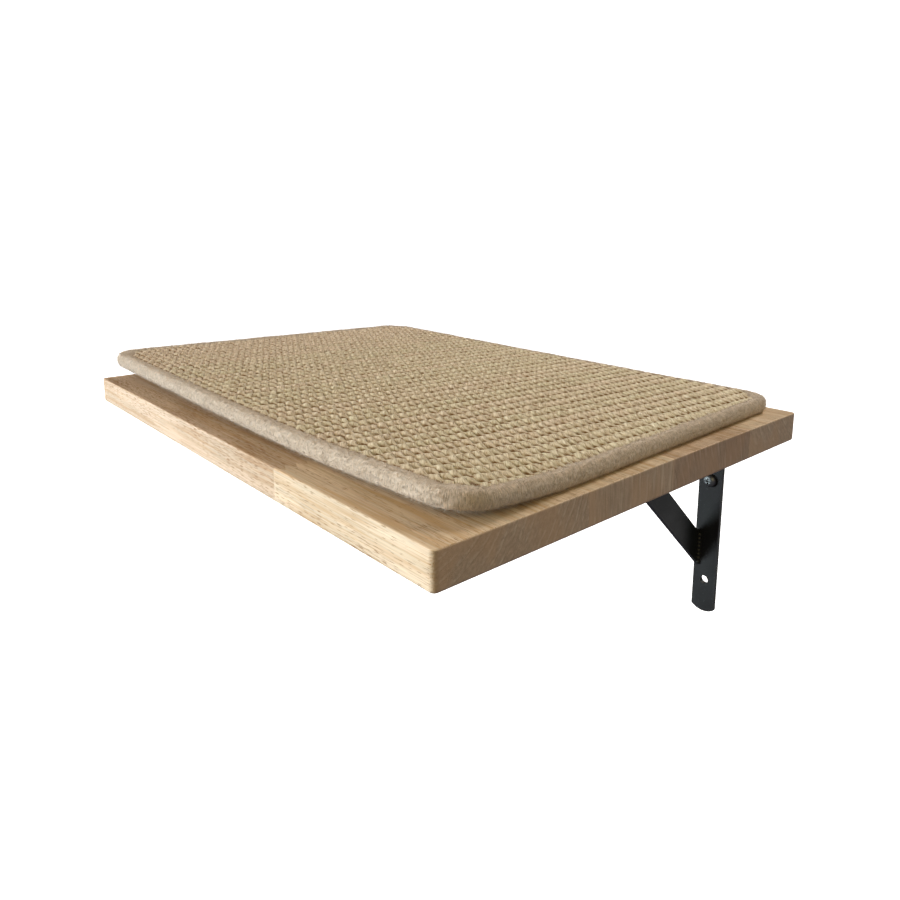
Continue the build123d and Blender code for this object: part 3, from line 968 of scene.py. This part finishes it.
        return inward, height, np.concatenate([along, inner_run]), shown


class CATSHELF_OT_backing(bpy.types.Operator):
    """Lays the felt backing under the weave"""

    bl_idname = "cat_shelf.backing"
    bl_label = "Felt backing"

    def execute(self, context):
        cloth = context.scene.cat_shelf_cloth
        low = cloth.skin / MM
        backing = cloth_slab(
            "felt_backing_cloth", low, low, low + cloth.backing / MM,
            step=2.5, rough=0.12, material=felt(context.scene.cat_shelf_colours.felt),
        )
        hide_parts("felt_backing")
        panel_size()
        return {"FINISHED"}


class CATSHELF_OT_pads(bpy.types.Operator):
    """Makes the hook pads on the board and the loop pads under the mat"""

    bl_idname = "cat_shelf.pads"
    bl_label = "Hook and loop pads"

    def execute(self, context):
        cloth = context.scene.cat_shelf_cloth
        rng = np.random.default_rng(cloth.seed + 2)
        nylon = tape(context.scene.cat_shelf_colours.tape)
        thick, gap = cloth.pad_thickness / MM, 0.05
        hooks = self.pads(cloth, "board_hook_pad_tape", rng, 0.0, thick, nylon, "shelf")
        top = cloth.skin / MM - gap
        loops = self.pads(cloth, "mat_loop_pad_cloth", rng, top - thick, top, nylon, "mat")
        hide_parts("board_hook_pads")
        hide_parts("mat_loop_pads")
        return {"FINISHED"}

    def pads(self, cloth, name, rng, low, high, material, body):
        """Four pads in one object. Their pile stands on the side that meets the other pads."""
        columns, rows, pile_depth = 100, 50, 0.3
        half_x, half_y = cloth.pad_length / 2 / MM, cloth.pad_width / 2 / MM
        margin = cloth.pad_margin / MM
        far_x, far_y = half_sizes()[0] - margin - half_x, half_sizes()[1] - margin - half_y
        x = np.linspace(-half_x, half_x, columns + 1)[:, None]
        y = np.linspace(-half_y, half_y, rows + 1)
        points, faces = [], []
        for mid_x in (-far_x, far_x):
            for mid_y in (-far_y, far_y):
                faces.append(slab_faces(columns + 1, rows + 1, sum(map(len, points))))
                pile = rng.uniform(0, pile_depth, (columns + 1, rows + 1))
                pile[::2, ::2] = 0
                levels = (low + pile, high) if body == "mat" else (low, high - pile)
                points += [rows_of(x + mid_x, y + mid_y, level) for level in levels]
        placed = on_mat if body == "mat" else on_board
        return piece(name, placed(np.concatenate(points)), np.concatenate(faces), material, body)


class CATSHELF_OT_stage(bpy.types.Operator):
    """Sets the floor, the lights and the camera"""

    bl_idname = "cat_shelf.stage"
    bl_label = "Studio"

    def execute(self, context):
        studio = context.scene.cat_shelf_studio
        self.floor(context, studio)
        self.backdrop(context)
        self.lights(context, studio)
        self.surroundings(context, studio)
        self.camera(context, studio)
        return {"FINISHED"}

    def lights(self, context, studio):
        """Five square soft lights a metre wide, all facing the shelf."""
        faced = Vector((0, -0.15, 0))
        lights = [
            ("Key_light", (-1.3, -1.85, 0.14), studio.key, studio.key_tint),
            ("Front_light", (-1.22, -1.74, 0.77), studio.front, studio.front_tint),
            ("Side_light", (1.4, -1.4, 1.1), studio.side, studio.side_tint),
            ("Back_light", (0.4, 1.2, 1.6), studio.back, studio.back_tint),
            ("Low_light", (1.5, 1.7, -0.9), studio.low, studio.low_tint),
        ]
        for name, place, power, tint in lights:
            data = bpy.data.lights.new(name, "AREA")
            data.size = 1.0
            data.energy = power
            data.color = tint
            light = bpy.data.objects.new(name, data)
            light.location = place
            light.rotation_euler = (faced - Vector(place)).to_track_quat("-Z", "Y").to_euler()
            context.scene.collection.objects.link(light)

    def surroundings(self, context, studio):
        """A weak even light from all round, and plain colours in the picture."""
        world = bpy.data.worlds.new("Soft_surroundings")
        world.use_nodes = True
        background = world.node_tree.nodes["Background"]
        background.inputs["Color"].default_value = rgba(studio.sky_tint)
        background.inputs["Strength"].default_value = studio.sky
        context.scene.world = world
        context.scene.view_settings.view_transform = "Standard"

    def camera(self, context, studio):
        """The camera, low at the front right."""
        data = bpy.data.cameras.new("Camera")
        data.lens = studio.lens
        data.sensor_width = 36.0
        data.shift_y = studio.shift_y
        data.clip_start = 0.01
        camera = bpy.data.objects.new("Camera", data)
        camera.location = (studio.camera_x, studio.camera_y, studio.camera_z)
        camera.rotation_euler = (math.pi / 2 - studio.tilt, 0, studio.azimuth)
        context.scene.collection.objects.link(camera)
        context.scene.camera = camera

    def floor(self, context, studio):
        """A plain floor with a light of its own, so that it shows white under the shelf."""
        shader = Shader("Studio_floor", {"Roughness": 0.9, "Specular IOR Level": 0.0})
        shader.put(shader.skin.inputs["Base Color"], rgba(context.scene.cat_shelf_colours.floor))
        shader.put(shader.skin.inputs["Emission Color"], rgba(studio.glow))
        shader.put(shader.skin.inputs["Emission Strength"], 1.0)
        rings = [(out, studio.floor_z) for out in (0.0, 0.5, 1.0, 2.0, 4.0, 8.0)]
        self.turned(context, "Studio_floor", rings, shader.material)

    def backdrop(self, context):
        """A plain white ball round everything."""
        shader = Shader("Studio_backdrop", {"Base Color": (0, 0, 0, 1), "Emission Strength": 1.1})
        shader.put(shader.skin.inputs["Emission Color"], (1, 1, 1, 1))
        radius, hole = 8.0, 0.01
        bend = np.linspace(-0.5, 0.5, 13) * math.pi
        rings = [(radius * math.cos(b) + hole, radius * math.sin(b)) for b in bend]
        self.turned(context, "Studio_backdrop", rings, shader.material)

    def turned(self, context, name, rings, material):
        """A stage surface turned about the middle, which only the camera sees."""
        turns = 64
        points = [
            (out * math.cos(k * math.tau / turns), out * math.sin(k * math.tau / turns), up)
            for out, up in rings for k in range(turns)
        ]
        mesh = bpy.data.meshes.new(name)
        mesh.from_pydata(points, [], grid_faces(len(rings), turns, wrap_columns=True).tolist())
        mesh.validate()
        mesh.materials.append(material)
        made = bpy.data.objects.new(name, mesh)
        made.visible_diffuse = False
        made.visible_glossy = False
        made.visible_shadow = False
        context.scene.collection.objects.link(made)


class CATSHELF_PT_panel(bpy.types.Panel):
    """Lists the pieces of the shelf"""

    bl_idname = "CATSHELF_PT_panel"
    bl_label = "Cat shelf"
    bl_space_type = "VIEW_3D"
    bl_region_type = "UI"
    bl_category = "Cat shelf"

    def draw(self, context):
        for operator in operators:
            self.layout.operator(operator.bl_idname)
        for group in settings:
            box = self.layout.box()
            values = getattr(context.scene, group)
            for name in values.bl_rna.properties.keys():
                if name not in ("rna_type", "name"):
                    box.prop(values, name)


operators = (
    CATSHELF_OT_stage,
    CATSHELF_OT_board,
    CATSHELF_OT_brackets,
    CATSHELF_OT_pads,
    CATSHELF_OT_backing,
    CATSHELF_OT_weave,
    CATSHELF_OT_binding,
)
settings = {
    "cat_shelf_mat": CatShelfMatSizes,
    "cat_shelf_cloth": CatShelfClothSizes,
    "cat_shelf_colours": CatShelfColours,
    "cat_shelf_studio": CatShelfStudio,
}


def register():
    for group in settings.values():
        bpy.utils.register_class(group)
    for operator in operators:
        bpy.utils.register_class(operator)
    bpy.utils.register_class(CATSHELF_PT_panel)
    for name, group in settings.items():
        setattr(bpy.types.Scene, name, PointerProperty(type=group))


def unregister():
    for name in settings:
        delattr(bpy.types.Scene, name)
    bpy.utils.unregister_class(CATSHELF_PT_panel)
    for operator in reversed(operators):
        bpy.utils.unregister_class(operator)
    for group in reversed(settings.values()):
        bpy.utils.unregister_class(group)


def main():
    """Makes every piece in order."""
    register()
    for operator in operators:
        group, name = operator.bl_idname.split(".")
        getattr(getattr(bpy.ops, group), name)()


if __name__ == "__main__":
    main()
